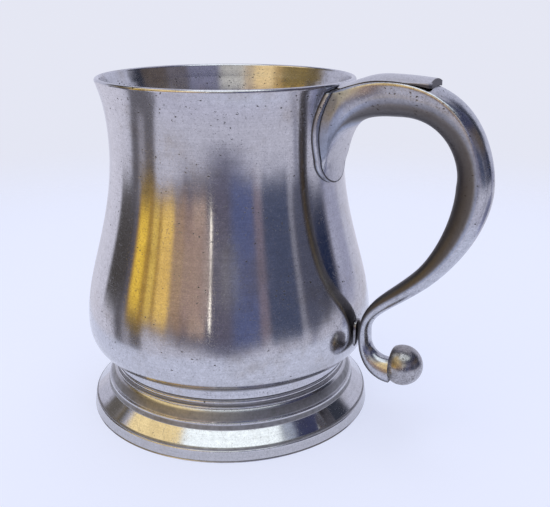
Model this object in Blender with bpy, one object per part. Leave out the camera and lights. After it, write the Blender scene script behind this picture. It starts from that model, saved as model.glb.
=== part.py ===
"""A pint mug of cast pewter: a bell-shaped body on a moulded foot, with a scrolled hollow handle.

The body is two turned castings that lap at the seam above the belly, and the lower one is also
the floor. A turned foot carries it. The handle is one hollow casting, open where it meets the
body. Its root rests on a plate that follows the body, its tail on a pad, and a ball ends it.

Units are metres. The mug stands on z = 0 with its handle along +X, and the origin lies under
the middle of its length, between the foot's left edge and the back of the handle.
"""
import math

import bmesh
import bpy
from mathutils import Vector

for old in list(bpy.data.objects):
    bpy.data.objects.remove(old, do_unlink=True)

# Clearances and how finely round forms are divided
JOINT_GAP = 0.0003
TURN_STEPS = 60
OUTSIDE_STEPS = 6
INSIDE_STEPS = 4
HANDLE_STEPS = 8
LEAF_STEPS = 14

# Body, outside
RIM_HEIGHT = 0.1190
RIM_RADIUS = 0.0441
WAIST_HEIGHT = 0.0952
WAIST_RADIUS = 0.0406
BELLY_HEIGHT = 0.0345
BELLY_RADIUS = 0.0515
COLLAR_RADIUS = 0.0431
COLLAR_HEIGHT = 0.0040
LIP_RADIUS = 0.0008
WALL = 0.0019
FLOOR_THICKNESS = 0.0022
SEAM_HEIGHT = 0.0440
LAP_HEIGHT = 0.0030
BEAD_HEIGHT = 0.0010
COLLAR_HEADING = 18
RIM_HEADING = 72
BELLY_PULLS = (0.36, 0.68)
WAIST_PULLS = (0.275, 0.415)
RIM_PULLS = (0.60, 0.18)
BOWL_CORNER_HEADING = -117
BOWL_CORNER_PULLS = (1.8, 0.6)

# Foot, turned as wide as the belly
FOOT_HEIGHT = 0.0178
FOOT_RADIUS = BELLY_RADIUS
BAND_HEIGHT = 0.0042
BAND_TAPER = 0.0005
SKIRT_START = 0.0008
SKIRT_RISE = 0.0039
SKIRT_WIDTH = 0.0047
STEP_RISE = 0.0020
STEP_WIDTH = 0.0004
SWELL_INSET = 0.0006
SWELL_RISE = 0.0048
SWELL_WIDTH = 0.0026
NECK_RADIUS = 0.0410
NECK_HEIGHT = 0.0012
FOOT_WALL = 0.0020
FOOT_LAND = 0.0028
FOOT_BEVEL = 0.0003
FILLET_LEG = 0.0024
FILLET_HOLLOW = 0.4
SWELL_HEADINGS = (106, 141)
INSIDE_HEADINGS = (-90, -70)
SWELL_PULL = 0.34
INSIDE_PULLS = (0.45, 0.28)

# Handle, seen from the side
HANDLE_REACH = 0.0931
HANDLE_BACK_HEIGHT = 0.0895
ROOT_TOP_DROP = 0.0024
ROOT_LENGTH = 0.0296
ROOT_ROUND = 0.0070
ARCH_OUT = 0.0165
ARCH_RISE = 0.0011
ARCH_LEAN = 0.0040
ARCH_DEPTH = 0.0096
BACK_DEPTH = 0.0050
SLOPE_DEPTH = 0.0034
SLOPE_SHARE_OUT = 0.545
SLOPE_SHARE_UP = 0.455
CONTACT_HEIGHT = 0.0345
CONTACT_DEPTH = 0.0012
TAIL_REACH = 0.0115
TAIL_HEIGHT = 0.0201
TAIL_DEPTH = 0.0016
ROOT_INNER_HEADING = 78
ROOT_RIDGE_HEADING = 18
SLOPE_HEADING = -134
SLOPE_RIDGE_HEADING = -139
INNER_PULLS = ((0.60, 0.43), (0.50, 0.28), (0.30, 0.30), (0.50, 0.42), (0.56, 0.30))
RIDGE_PULLS = ((0.30, 0.45), (0.48, 0.40), (0.30, 0.35), (0.55, 0.34), (0.50, 0.30))

# Handle, across
ROOT_LOW_WIDTH = 0.0188
ROOT_TOP_WIDTH = 0.0182
ROOT_SWELL = 0.0020
ARCH_WIDTH = 0.0138
BACK_WIDTH = 0.0122
SLOPE_WIDTH = 0.0086
CONTACT_WIDTH = 0.0074
TAIL_WIDTH = 0.0078
ROOT_CROWN = 0.0012
ARCH_CROWN = 0.0012
BACK_CROWN = 0.0038
SLOPE_CROWN = 0.0030
CONTACT_CROWN = 0.0020
TAIL_CROWN = 0.0062
ROOT_INNER_CROWN = 0.0012
ARCH_INNER_CROWN = 0.0011
BACK_INNER_CROWN = 0.0026
SLOPE_INNER_CROWN = 0.0002
TAIL_INNER_CROWN = 0.0002
CROWN_ANGLES = (40, 42, 62, 78, 80, 88)
INNER_ROUNDNESS = (0, 0.5, 1, 0.85, 0.3, 0.2)
HOLLOW_WALL = 0.0016
HOLLOW_KEYS = 2.6

# Root plate, tail pad, thumb leaf and ball
PLATE_THICKNESS = 0.0011
PLATE_BORDER = 0.0018
PLATE_TOE = 0.0005
PAD_THICKNESS = 0.0006
PAD_LENGTH = 0.0096
PAD_WIDTH = 0.0060
PAD_SQUARENESS = 0.6
LEAF_LENGTH = 0.0297
LEAF_WIDTH = 0.0124
LEAF_THICKNESS = 0.0010
LEAF_EDGE = 0.0005
LEAF_TIP_DROP = 0.0008
LEAF_ARCH_DROOP = 0.0015
LEAF_TIP_DROOP = 0.0003
LEAF_TIP_SHARE = 0.82
BALL_RADIUS = 0.0068
BALL_SEAT = 0.0034
BALL_DROP = 0.0007


def bezier(start, start_pull, end_pull, end, steps):
    """Points of a cubic curve, both ends included."""
    points = []
    for step in range(steps + 1):
        t = step / steps
        weights = ((1 - t) ** 3, 3 * t * (1 - t) ** 2, 3 * t * t * (1 - t), t ** 3)
        controls = (start, start_pull, end_pull, end)
        points.append(tuple(sum(w * c[axis] for w, c in zip(weights, controls)) for axis in (0, 1)))
    return points


def sweep(start, start_heading, start_pull, end, end_heading, end_pull, steps):
    """A curve that leaves start and reaches end along headings in degrees, pulled that far."""
    leave = (
        start[0] + start_pull * math.cos(math.radians(start_heading)),
        start[1] + start_pull * math.sin(math.radians(start_heading)),
    )
    reach = (
        end[0] - end_pull * math.cos(math.radians(end_heading)),
        end[1] - end_pull * math.sin(math.radians(end_heading)),
    )
    return bezier(start, leave, reach, end, steps)


def offset(points, distance):
    """Points moved square to their own line, to its left."""
    moved = []
    for index, point in enumerate(points):
        before = points[max(index - 1, 0)]
        after = points[min(index + 1, len(points) - 1)]
        run = Vector((after[0] - before[0], after[1] - before[1])).normalized()
        moved.append((point[0] - run.y * distance, point[1] + run.x * distance))
    return moved


def height_cut(points, low, high):
    """The stretch of a rising line between two heights, with its ends on them."""
    inner = [point for point in points if low < point[1] < high]
    return [(radius_at(points, low), low)] + inner + [(radius_at(points, high), high)]


def radius_at(points, height):
    """Radius of a rising line of (radius, height) points at a height."""
    for lower, upper in zip(points, points[1:]):
        if height <= upper[1]:
            share = (height - lower[1]) / (upper[1] - lower[1])
            return lower[0] + share * (upper[0] - lower[0])
    return points[-1][0]


def body_profile(steps):
    """The body's outer line from the top of its collar up to the rim."""
    collar_top = (COLLAR_RADIUS, FOOT_HEIGHT + JOINT_GAP + COLLAR_HEIGHT)
    belly = (BELLY_RADIUS, BELLY_HEIGHT)
    waist = (WAIST_RADIUS, WAIST_HEIGHT)
    rim = (RIM_RADIUS, RIM_HEIGHT - LIP_RADIUS)
    belly_rise = belly[1] - collar_top[1]
    waist_rise = waist[1] - belly[1]
    rim_rise = rim[1] - waist[1]
    under = sweep(collar_top, COLLAR_HEADING, BELLY_PULLS[0] * belly_rise,
                  belly, 90, BELLY_PULLS[1] * belly_rise, steps)
    middle = sweep(belly, 90, WAIST_PULLS[0] * waist_rise,
                   waist, 90, WAIST_PULLS[1] * waist_rise, 2 * steps)
    upper = sweep(waist, 90, RIM_PULLS[0] * rim_rise,
                  rim, RIM_HEADING, RIM_PULLS[1] * rim_rise, steps)
    return under + middle[1:] + upper[1:]


BODY_LINE = body_profile(4 * OUTSIDE_STEPS)


def body_surface(y, z, stand_off):
    """The point beside the body's handle side that stands off from its surface by that much."""
    reach = radius_at(BODY_LINE, z) + stand_off
    return Vector((math.sqrt(reach * reach - y * y), y, z))


def pewter(name, colour, roughness):
    finish = bpy.data.materials.new(name)
    finish.use_nodes = True
    shader = finish.node_tree.nodes["Principled BSDF"]
    shader.inputs["Base Color"].default_value = (*colour, 1)
    shader.inputs["Metallic"].default_value = 1
    shader.inputs["Roughness"].default_value = roughness
    return finish


def add_piece(name, bm, finish, sharp_angle=35):
    """Close off a mesh as one named piece that hangs on the mug's own axis."""
    bmesh.ops.remove_doubles(bm, verts=bm.verts, dist=1e-7)
    bmesh.ops.recalc_face_normals(bm, faces=bm.faces)
    mesh = bpy.data.meshes.new(name)
    bm.to_mesh(mesh)
    bm.free()
    mesh.materials.append(finish)
    mesh.shade_smooth()
    mesh.set_sharp_from_angle(angle=math.radians(sharp_angle))
    piece = bpy.data.objects.new(name, mesh)
    bpy.context.collection.objects.link(piece)
    piece.parent = mug_axis
    return piece


def turned(name, outline, finish, closed=True):
    """A piece of revolution from its (radius, height) outline; an open one ends on the axis."""
    bm = bmesh.new()
    corners = [bm.verts.new((radius, 0, height)) for radius, height in outline]
    partners = corners[1:] + corners[:1] if closed else corners[1:]
    edges = [bm.edges.new(pair) for pair in zip(corners, partners)]
    bmesh.ops.spin(
        bm, geom=corners + edges, cent=(0, 0, 0), axis=(0, 0, 1),
        angle=math.tau, steps=TURN_STEPS, use_merge=True, use_duplicate=False,
    )
    return add_piece(name, bm, finish)


def skin(bm, rings):
    """Faces between closed rings of equal count."""
    for near, far in zip(rings, rings[1:]):
        for index in range(len(near)):
            after = (index + 1) % len(near)
            bm.faces.new((near[index], near[after], far[after], far[index]))


# Every piece hangs on an empty that stands on the mug's own axis
mug_axis = bpy.data.objects.new("mug_axis", None)
bpy.context.collection.objects.link(mug_axis)


# Upper body: the drum from the seam to the lip
body_pewter = pewter("body_pewter", (0.42, 0.42, 0.44), 0.22)
mesh_line = body_profile(OUTSIDE_STEPS)
half_wall = WALL / 2
shoulder_low = SEAM_HEIGHT
shoulder_high = SEAM_HEIGHT + BEAD_HEIGHT + 2 * JOINT_GAP
lap_top = SEAM_HEIGHT + LAP_HEIGHT
drum_outside = height_cut(mesh_line, shoulder_high, RIM_HEIGHT - LIP_RADIUS)
lip_centre = (RIM_RADIUS - LIP_RADIUS, RIM_HEIGHT - LIP_RADIUS)
lip = [
    (lip_centre[0] + LIP_RADIUS * math.cos(math.radians(angle)),
     lip_centre[1] + LIP_RADIUS * math.sin(math.radians(angle)))
    for angle in (36, 72, 108, 144)
]
inside_line = offset(body_profile(INSIDE_STEPS), WALL)
drum_inside = height_cut(inside_line, lap_top + JOINT_GAP, RIM_HEIGHT - 4 * LIP_RADIUS)
drum_throat = (RIM_RADIUS - 2 * LIP_RADIUS, RIM_HEIGHT - LIP_RADIUS)
skirt_line = offset(mesh_line, half_wall - JOINT_GAP / 2)
drum_skirt = height_cut(skirt_line, shoulder_high, lap_top + JOINT_GAP)
upper_outline = drum_outside + lip + [drum_throat] + drum_inside[::-1] + drum_skirt[::-1]
turned("upper_body", upper_outline, body_pewter)

# Lower body: the bowl, its collar and the floor, with a tongue that laps inside the drum
tongue_line = offset(mesh_line, half_wall + JOINT_GAP / 2)
collar_bottom = FOOT_HEIGHT + JOINT_GAP
floor_under = collar_bottom + JOINT_GAP
floor_top = floor_under + FLOOR_THICKNESS
collar_inner = NECK_RADIUS - FOOT_WALL - FILLET_LEG - 2 * JOINT_GAP
bowl_inside = height_cut(inside_line, floor_top + 2 * WALL, lap_top)
floor_edge = (COLLAR_RADIUS - 2 * WALL, floor_top)
bowl_corner = sweep(
    bowl_inside[0], BOWL_CORNER_HEADING, BOWL_CORNER_PULLS[0] * WALL,
    floor_edge, 180, BOWL_CORNER_PULLS[1] * WALL, 3)
bowl_tongue = height_cut(tongue_line, shoulder_low, lap_top)
bowl_outside = height_cut(mesh_line, mesh_line[0][1], shoulder_low)
collar_swell = COLLAR_RADIUS + JOINT_GAP
lower_outline = (
    [(0, floor_top)] + bowl_corner[::-1] + bowl_inside[1:]
    + bowl_tongue[::-1] + bowl_outside[::-1]
    + [(collar_swell, (collar_bottom + mesh_line[0][1]) / 2), (COLLAR_RADIUS, collar_bottom),
       (collar_inner, collar_bottom), (collar_inner - JOINT_GAP, floor_under), (0, floor_under)]
)
turned("lower_body", lower_outline, body_pewter, closed=False)

# Seam solder: the bead that fills the groove between the two castings, turned flush
bead_low = shoulder_low + JOINT_GAP
bead_high = shoulder_high - JOINT_GAP
bead_line = offset(mesh_line, half_wall - JOINT_GAP / 2)
bead_outline = [
    (radius_at(bead_line, bead_low), bead_low), (radius_at(mesh_line, bead_low), bead_low),
    (radius_at(mesh_line, bead_high), bead_high), (radius_at(bead_line, bead_high), bead_high),
]
solder = pewter("solder", (0.50, 0.50, 0.52), 0.35)
turned("seam_solder", bead_outline, solder)


# Foot: a turned ring with an upright band, a flared skirt, a step, a swell and a short neck
band_top = (FOOT_RADIUS - BAND_TAPER, BAND_HEIGHT)
skirt_low = (band_top[0] - JOINT_GAP, BAND_HEIGHT + SKIRT_START)
skirt_high = (skirt_low[0] - SKIRT_WIDTH, skirt_low[1] + SKIRT_RISE)
step_high = (skirt_high[0] - STEP_WIDTH, skirt_high[1] + STEP_RISE)
swell_low = (step_high[0] - SWELL_INSET, step_high[1] + JOINT_GAP)
swell_high = (swell_low[0] - SWELL_WIDTH, swell_low[1] + SWELL_RISE)
neck_low = (NECK_RADIUS + JOINT_GAP, FOOT_HEIGHT - NECK_HEIGHT)
swell_curve = sweep(
    swell_low, SWELL_HEADINGS[0], SWELL_PULL * SWELL_RISE,
    swell_high, SWELL_HEADINGS[1], SWELL_PULL * SWELL_RISE, 6)
inside_low = (FOOT_RADIUS - FOOT_BEVEL - FOOT_LAND, 0)
inside_high = (NECK_RADIUS - FOOT_WALL, FOOT_HEIGHT)
inside_curve = sweep(
    inside_high, INSIDE_HEADINGS[0], INSIDE_PULLS[0] * FOOT_HEIGHT,
    inside_low, INSIDE_HEADINGS[1], INSIDE_PULLS[1] * FOOT_HEIGHT, 5)
foot_outline = (
    [(FOOT_RADIUS - FOOT_BEVEL, 0), (FOOT_RADIUS, FOOT_BEVEL), band_top,
     (band_top[0] - 2 * JOINT_GAP, band_top[1] + JOINT_GAP), skirt_low, skirt_high, step_high]
    + swell_curve + [neck_low, (NECK_RADIUS, FOOT_HEIGHT)] + inside_curve
)
foot_pewter = pewter("foot_pewter", (0.45, 0.45, 0.46), 0.16)
turned("foot_ring", foot_outline, foot_pewter)

# Foot solder: the fillet run round inside the neck, under the bowl
fillet_out = NECK_RADIUS - FOOT_WALL - JOINT_GAP
fillet_top = FOOT_HEIGHT
fillet_outline = [
    (fillet_out - FILLET_LEG, fillet_top),
    (fillet_out - FILLET_HOLLOW * FILLET_LEG, fillet_top - FILLET_HOLLOW * FILLET_LEG),
    (fillet_out, fillet_top - FILLET_LEG), (fillet_out, fillet_top),
]
turned("foot_solder", fillet_outline, solder)


# Handle: where its inner line and its ridge, the outer edge of its flat sides, pass
root_stand_off = PLATE_THICKNESS + 2 * JOINT_GAP
root_top = RIM_HEIGHT - ROOT_TOP_DROP
root_low = root_top - ROOT_LENGTH
arch_x = RIM_RADIUS + ARCH_OUT
arch_z = RIM_HEIGHT + ARCH_RISE
back_x = HANDLE_REACH - BACK_CROWN
contact_x = BELLY_RADIUS + PAD_THICKNESS + 2 * JOINT_GAP + TAIL_INNER_CROWN
slope_x = contact_x + SLOPE_SHARE_OUT * (back_x - BACK_DEPTH - contact_x)
slope_z = CONTACT_HEIGHT + SLOPE_SHARE_UP * (HANDLE_BACK_HEIGHT - CONTACT_HEIGHT)
tail_x = contact_x + TAIL_REACH


def beside(point, heading, depth):
    """The point that lies depth to the left of a heading, where the ridge runs."""
    across = math.radians(heading + 90)
    return (point[0] + depth * math.cos(across), point[1] + depth * math.sin(across))


root_edge = root_low + ROOT_ROUND + ROOT_INNER_CROWN
root_inner = (radius_at(BODY_LINE, root_edge) + root_stand_off, root_edge)
root_ridge = (radius_at(BODY_LINE, root_top) + root_stand_off, root_top)
inner_keys = [
    (root_inner, ROOT_INNER_HEADING), ((arch_x + ARCH_LEAN, arch_z - ARCH_DEPTH), 0),
    ((back_x - BACK_DEPTH, HANDLE_BACK_HEIGHT), -90), ((slope_x, slope_z), SLOPE_HEADING),
    ((contact_x, CONTACT_HEIGHT), -90), ((tail_x, TAIL_HEIGHT), 0),
]
ridge_keys = [
    (root_ridge, ROOT_RIDGE_HEADING), ((arch_x, arch_z), 0),
    ((back_x, HANDLE_BACK_HEIGHT), -90),
    (beside((slope_x, slope_z), SLOPE_HEADING, SLOPE_DEPTH), SLOPE_RIDGE_HEADING),
    ((contact_x + CONTACT_DEPTH, CONTACT_HEIGHT), -90),
    ((tail_x, TAIL_HEIGHT + TAIL_DEPTH), 0),
]


def rail(keys, pulls):
    """One smooth line through the keys, HANDLE_STEPS points to each stretch."""
    points = []
    for (start, start_heading), (end, end_heading), pull in zip(keys, keys[1:], pulls):
        span = math.dist(start, end)
        stretch = sweep(start, start_heading, pull[0] * span,
                        end, end_heading, pull[1] * span, HANDLE_STEPS)
        points += stretch[1:] if points else stretch
    return points


def eased(values, place):
    """A value read between the keys, smoothly."""
    low = min(int(place), len(values) - 2)
    share = place - low
    share = share * share * (3 - 2 * share)
    return values[low] + share * (values[low + 1] - values[low])


INNER_RAIL = rail(inner_keys, INNER_PULLS)
RIDGE_RAIL = rail(ridge_keys, RIDGE_PULLS)
LOW_WIDTHS = (ROOT_LOW_WIDTH, ARCH_WIDTH, BACK_WIDTH, SLOPE_WIDTH, CONTACT_WIDTH, TAIL_WIDTH)
RIDGE_WIDTHS = (ROOT_TOP_WIDTH, ARCH_WIDTH, BACK_WIDTH, SLOPE_WIDTH, CONTACT_WIDTH, TAIL_WIDTH)
CROWNS = (ROOT_CROWN, ARCH_CROWN, BACK_CROWN, SLOPE_CROWN, CONTACT_CROWN, TAIL_CROWN)
INNER_CROWNS = (ROOT_INNER_CROWN, ARCH_INNER_CROWN, BACK_INNER_CROWN, SLOPE_INNER_CROWN,
                TAIL_INNER_CROWN, TAIL_INNER_CROWN)
SWELLS = (ROOT_SWELL, 0, 0, 0, 0, 0)


def section(place, inset=0.0):
    """The handle's outline across, as (y, depth) pairs from its inner line, at a place."""
    index = round(place * HANDLE_STEPS)
    depth = math.dist(INNER_RAIL[index], RIDGE_RAIL[index])
    low_half = eased(LOW_WIDTHS, place) / 2 - inset
    ridge_half = eased(RIDGE_WIDTHS, place) / 2 - inset
    crown = eased(CROWNS, place)
    spread = math.radians(eased(CROWN_ANGLES, place))
    inner_crown = eased(INNER_CROWNS, place) + ROOT_ROUND * max(0, 1 - place) ** 3
    swell = eased(SWELLS, place)
    roundness = eased(INNER_ROUNDNESS, place)
    floor = inset
    top = depth + min(crown - inset, 0)
    boxed = []
    for share in (2 / 3, 1 / 3):
        half = low_half + share * (ridge_half - low_half) + swell * math.sin(share * math.pi)
        boxed.append((-half, floor + share * (top - floor)))
    for step in range(-3, 4):
        turn = step * math.pi / 6
        boxed.append((low_half * math.sin(turn), floor - inner_crown * math.cos(turn)))
    boxed += [(-side, rise) for side, rise in boxed[1::-1]]
    outline = []
    for step, (side, rise) in zip(range(-5, 6), boxed):
        turn = step * math.pi / 12
        round_side = ridge_half * math.sin(turn)
        round_rise = top - (top - floor + inner_crown) * math.cos(turn)
        outline.append((side + roundness * (round_side - side),
                        rise + roundness * (round_rise - rise)))
    for step in range(4, -5, -1):
        turn = step / 4 * spread
        rise = max(crown - inset, 0) * (math.cos(turn) - math.cos(spread)) / (1 - math.cos(spread))
        outline.append((ridge_half * math.sin(turn) / math.sin(spread), top + rise))
    return outline


def section_ring(place, inset=0.0):
    """The outline set up across the handle, or against the body at the root."""
    index = round(place * HANDLE_STEPS)
    start = Vector((INNER_RAIL[index][0], 0, INNER_RAIL[index][1]))
    along = Vector((RIDGE_RAIL[index][0], 0, RIDGE_RAIL[index][1])) - start
    ring = []
    for y, depth in section(place, inset):
        point = start + along.normalized() * depth
        point.y = y
        ring.append(body_surface(y, point.z, root_stand_off) if index == 0 else point)
    return ring


handle_pewter = pewter("handle_pewter", (0.40, 0.40, 0.42), 0.24)
bm = bmesh.new()
key_count = len(inner_keys) - 1
outer_rings = [
    [bm.verts.new(point) for point in section_ring(step / HANDLE_STEPS)]
    for step in range(key_count * HANDLE_STEPS + 1)
]
hollow_rings = [
    [bm.verts.new(point) for point in section_ring(step / HANDLE_STEPS, HOLLOW_WALL)]
    for step in range(round(HOLLOW_KEYS * HANDLE_STEPS) + 1)
]
skin(bm, outer_rings)
skin(bm, hollow_rings)
skin(bm, [outer_rings[0], hollow_rings[0]])
bm.faces.new(outer_rings[-1])
bm.faces.new(hollow_rings[-1])
add_piece("handle", bm, handle_pewter)


def surface_pad(name, outline, stand_off, thickness, finish):
    """A plate that follows the body: its outline is (y, z) pairs, drawn in to its middle."""
    bm = bmesh.new()
    middle_z = sum(z for y, z in outline) / len(outline)
    shares = (1, 0.7, 0.35)
    sides = []
    for lift in (stand_off, stand_off + thickness):
        rings = [
            [bm.verts.new(body_surface(y * share, middle_z + (z - middle_z) * share, lift))
             for y, z in outline]
            for share in shares
        ]
        skin(bm, rings)
        centre = bm.verts.new(body_surface(0, middle_z, lift))
        for first, second in zip(rings[-1], rings[-1][1:] + rings[-1][:1]):
            bm.faces.new((first, second, centre))
        sides.append(rings[0])
    skin(bm, sides)
    return add_piece(name, bm, finish)


# Root plate: the shield-shaped plate that shows as a border round the sides of the root
root_outline = [(point.y, point.z) for point in section_ring(0)]
looped = [root_outline[-1]] + root_outline + [root_outline[0]]
plate_outline = []
for before, point, after in zip(looped, root_outline, looped[2:]):
    run = Vector((after[0] - before[0], after[1] - before[1])).normalized()
    side = point[0] + run.y * PLATE_BORDER
    plate_outline.append((side, point[1] - max(run.x, 0) * PLATE_TOE))
surface_pad("root_plate", plate_outline, JOINT_GAP, PLATE_THICKNESS, handle_pewter)

# Tail pad: the solder pad that the tail of the handle rests on
pad_outline = [
    (PAD_WIDTH / 2 * math.copysign(abs(math.cos(turn)) ** PAD_SQUARENESS, math.cos(turn)),
     CONTACT_HEIGHT
     + PAD_LENGTH / 2 * math.copysign(abs(math.sin(turn)) ** PAD_SQUARENESS, math.sin(turn)))
    for turn in (step * math.tau / 16 for step in range(16))
]
surface_pad("tail_pad", pad_outline, JOINT_GAP, PAD_THICKNESS, solder)


# Thumb leaf: the tongue that lies along the handle's back from the lip to a free tip
BACK_LINES = []
for step in range(2 * HANDLE_STEPS + 1):
    ring = section_ring(step / HANDLE_STEPS)
    crest = max(ring, key=lambda point: point.z)
    upper = sorted((point.y, point.z) for point in ring if point.z > crest.z - BACK_CROWN)
    BACK_LINES.append((crest.x, upper))


def read_across(pairs, place):
    """Reads the second of sorted pairs at a place along the first, held at both ends."""
    if place <= pairs[0][0]:
        return pairs[0][1]
    for (left, low), (right, high) in zip(pairs, pairs[1:]):
        if place <= right:
            return low + (high - low) * (place - left) / (right - left)
    return pairs[-1][1]


def back_height(x, y):
    """Height of the handle's back at a distance from the axis and to the side of its middle."""
    return read_across([(line_x, read_across(upper, y)) for line_x, upper in BACK_LINES], x)


leaf_start = RIM_RADIUS + JOINT_GAP
leaf_crest = back_height(arch_x, 0) + JOINT_GAP
bm = bmesh.new()
rings = []
for step in range(LEAF_STEPS + 1):
    x = leaf_start + LEAF_LENGTH * step / LEAF_STEPS
    free = max(0, (x - arch_x) / (leaf_start + LEAF_LENGTH - arch_x))
    centre = leaf_crest - LEAF_TIP_DROP * free * free if free else 0
    droop = LEAF_ARCH_DROOP + free * (LEAF_TIP_DROOP - LEAF_ARCH_DROOP)
    half = LEAF_WIDTH / 2 * (LEAF_TIP_SHARE if step == LEAF_STEPS else 1)
    under = []
    over = []
    for side in (step_across / 3 for step_across in range(-3, 4)):
        y = side * half
        seat = max(back_height(x, y) + JOINT_GAP, centre - droop * side * side)
        thickness = LEAF_EDGE + (LEAF_THICKNESS - LEAF_EDGE) * (1 - side * side)
        under.append(bm.verts.new((x, y, seat)))
        over.append(bm.verts.new((x, y, seat + thickness)))
    rings.append(under + over[::-1])
skin(bm, rings)
bm.faces.new(rings[0])
bm.faces.new(rings[-1])
add_piece("thumb_leaf", bm, handle_pewter)


# Ball: the round end of the tail, seated on its flat
ball_x = tail_x + JOINT_GAP + BALL_SEAT
ball_z = TAIL_HEIGHT - BALL_DROP + BALL_RADIUS
bm = bmesh.new()
bmesh.ops.create_uvsphere(bm, u_segments=24, v_segments=14, radius=BALL_RADIUS)
bmesh.ops.rotate(bm, verts=bm.verts, cent=(0, 0, 0), matrix=Vector((0, 0, 1)).rotation_difference(
    Vector((1, 0, 0))).to_matrix())
cut = bmesh.ops.bisect_plane(
    bm, geom=bm.verts[:] + bm.edges[:] + bm.faces[:], plane_co=(-BALL_SEAT, 0, 0),
    plane_no=(-1, 0, 0), clear_outer=True,
)
rim_edges = [item for item in cut["geom_cut"] if isinstance(item, bmesh.types.BMEdge)]
bmesh.ops.contextual_create(bm, geom=rim_edges)
bmesh.ops.translate(bm, verts=bm.verts, vec=(ball_x, 0, ball_z))
add_piece("ball_end", bm, handle_pewter)


# The axis stands left of the middle by half the handle's overhang
handle_reach = max(point.x for step in range(key_count * HANDLE_STEPS + 1)
                   for point in section_ring(step / HANDLE_STEPS))
mug_axis.location.x = (FOOT_RADIUS - handle_reach) / 2
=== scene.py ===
"""The looks of a pint mug of cast pewter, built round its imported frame.

Metres, +Z up, the mug on z = 0 with its handle along +X. The sections follow the mug as it is
put together: body, foot, handle, and then the table and light that it is seen in.
"""

import math

import bmesh
import bpy
import numpy as np
from mathutils import Matrix, Vector


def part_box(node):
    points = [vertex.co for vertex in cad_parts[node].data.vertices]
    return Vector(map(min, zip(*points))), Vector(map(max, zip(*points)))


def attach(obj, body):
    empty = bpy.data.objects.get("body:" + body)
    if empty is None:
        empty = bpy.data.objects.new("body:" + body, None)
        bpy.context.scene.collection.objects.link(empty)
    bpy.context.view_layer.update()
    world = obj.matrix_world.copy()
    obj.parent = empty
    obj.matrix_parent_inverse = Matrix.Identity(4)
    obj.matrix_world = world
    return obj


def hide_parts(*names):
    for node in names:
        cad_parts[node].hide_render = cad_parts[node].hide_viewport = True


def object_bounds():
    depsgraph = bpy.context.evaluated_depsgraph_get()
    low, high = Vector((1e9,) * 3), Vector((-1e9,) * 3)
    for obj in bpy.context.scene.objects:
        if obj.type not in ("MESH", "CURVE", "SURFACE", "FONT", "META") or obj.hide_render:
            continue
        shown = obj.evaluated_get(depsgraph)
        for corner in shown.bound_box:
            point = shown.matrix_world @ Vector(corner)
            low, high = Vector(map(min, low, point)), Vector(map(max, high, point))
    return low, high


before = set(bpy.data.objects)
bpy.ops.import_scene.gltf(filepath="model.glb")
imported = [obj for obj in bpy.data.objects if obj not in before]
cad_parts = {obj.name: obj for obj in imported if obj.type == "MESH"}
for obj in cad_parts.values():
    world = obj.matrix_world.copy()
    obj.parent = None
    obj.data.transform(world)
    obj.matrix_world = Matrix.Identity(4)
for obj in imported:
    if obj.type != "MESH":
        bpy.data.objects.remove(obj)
cad_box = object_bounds()


# Upper body: the drum from the seam above the belly up to the lip. It is cast in pewter, turned
# inside and out on a lathe, and has worn to a soft shine with pits, scratches and brown tarnish.
foot_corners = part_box("foot_ring")
axis_x = (foot_corners[0].x + foot_corners[1].x) / 2
rim_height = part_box("upper_body")[1].z
seam_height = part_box("seam_solder")[0].z
foot_height = foot_corners[1].z
belly_radius = (foot_corners[1].x - foot_corners[0].x) / 2
belly_height = 0.0345
waist_radius = 0.0406
waist_height = 0.0952
rim_radius = 0.0441
collar_radius = 0.0431
collar_top_height = 0.0221
lip_radius = 0.0009
wall = 0.0019
hairline = 0.000005


def curved(start, start_heading, start_pull, end, end_heading, end_pull, count):
    """Points of a curve that leaves start and reaches end along headings in degrees."""
    leave = Vector((math.cos(math.radians(start_heading)), math.sin(math.radians(start_heading))))
    reach = Vector((math.cos(math.radians(end_heading)), math.sin(math.radians(end_heading))))
    start, end = Vector(start), Vector(end)
    first, last = start + leave * start_pull, end - reach * end_pull
    points = []
    for step in range(count + 1):
        t = step / count
        blend = ((1 - t) ** 3, 3 * t * (1 - t) ** 2, 3 * t * t * (1 - t), t ** 3)
        points.append(start * blend[0] + first * blend[1] + last * blend[2] + end * blend[3])
    return points


def arc(centre, radius, from_angle, to_angle, count):
    """Points of a round edge between two angles in degrees."""
    angles = [math.radians(from_angle + (to_angle - from_angle) * step / count)
              for step in range(count + 1)]
    return [Vector(centre) + radius * Vector((math.cos(a), math.sin(a))) for a in angles]


def inwards(points, distance):
    """A rising line moved square to itself, towards the mug's axis."""
    moved = []
    for index, point in enumerate(points):
        run = (points[min(index + 1, len(points) - 1)] - points[max(index - 1, 0)]).normalized()
        moved.append(point + Vector((-run.y, run.x)) * distance)
    return moved


def radius_at(line, height):
    """Radius of a rising line at a height."""
    for lower, upper in zip(line, line[1:]):
        if height <= upper.y:
            share = (height - lower.y) / (upper.y - lower.y)
            return lower.x + share * (upper.x - lower.x)
    return line[-1].x


def between(line, low, high):
    """The stretch of a rising line between two heights, ends included."""
    middle = [point for point in line if low < point.y < high]
    return ([Vector((radius_at(line, low), low))] + middle
            + [Vector((radius_at(line, high), high))])


belly_rise = belly_height - collar_top_height
waist_rise = waist_height - belly_height
rim_rise = rim_height - lip_radius - waist_height
body_line = (
    curved((collar_radius, collar_top_height), 18, 0.36 * belly_rise,
           (belly_radius, belly_height), 90, 0.68 * belly_rise, 48)
    + curved((belly_radius, belly_height), 90, 0.275 * waist_rise,
             (waist_radius, waist_height), 90, 0.415 * waist_rise, 96)[1:]
    + curved((waist_radius, waist_height), 90, 0.60 * rim_rise,
             (rim_radius, rim_height - lip_radius), 72, 0.18 * rim_rise, 48)[1:]
)
inside_line = inwards(body_line, wall)
guide_radius = 0.02
turn_steps = 288


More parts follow.
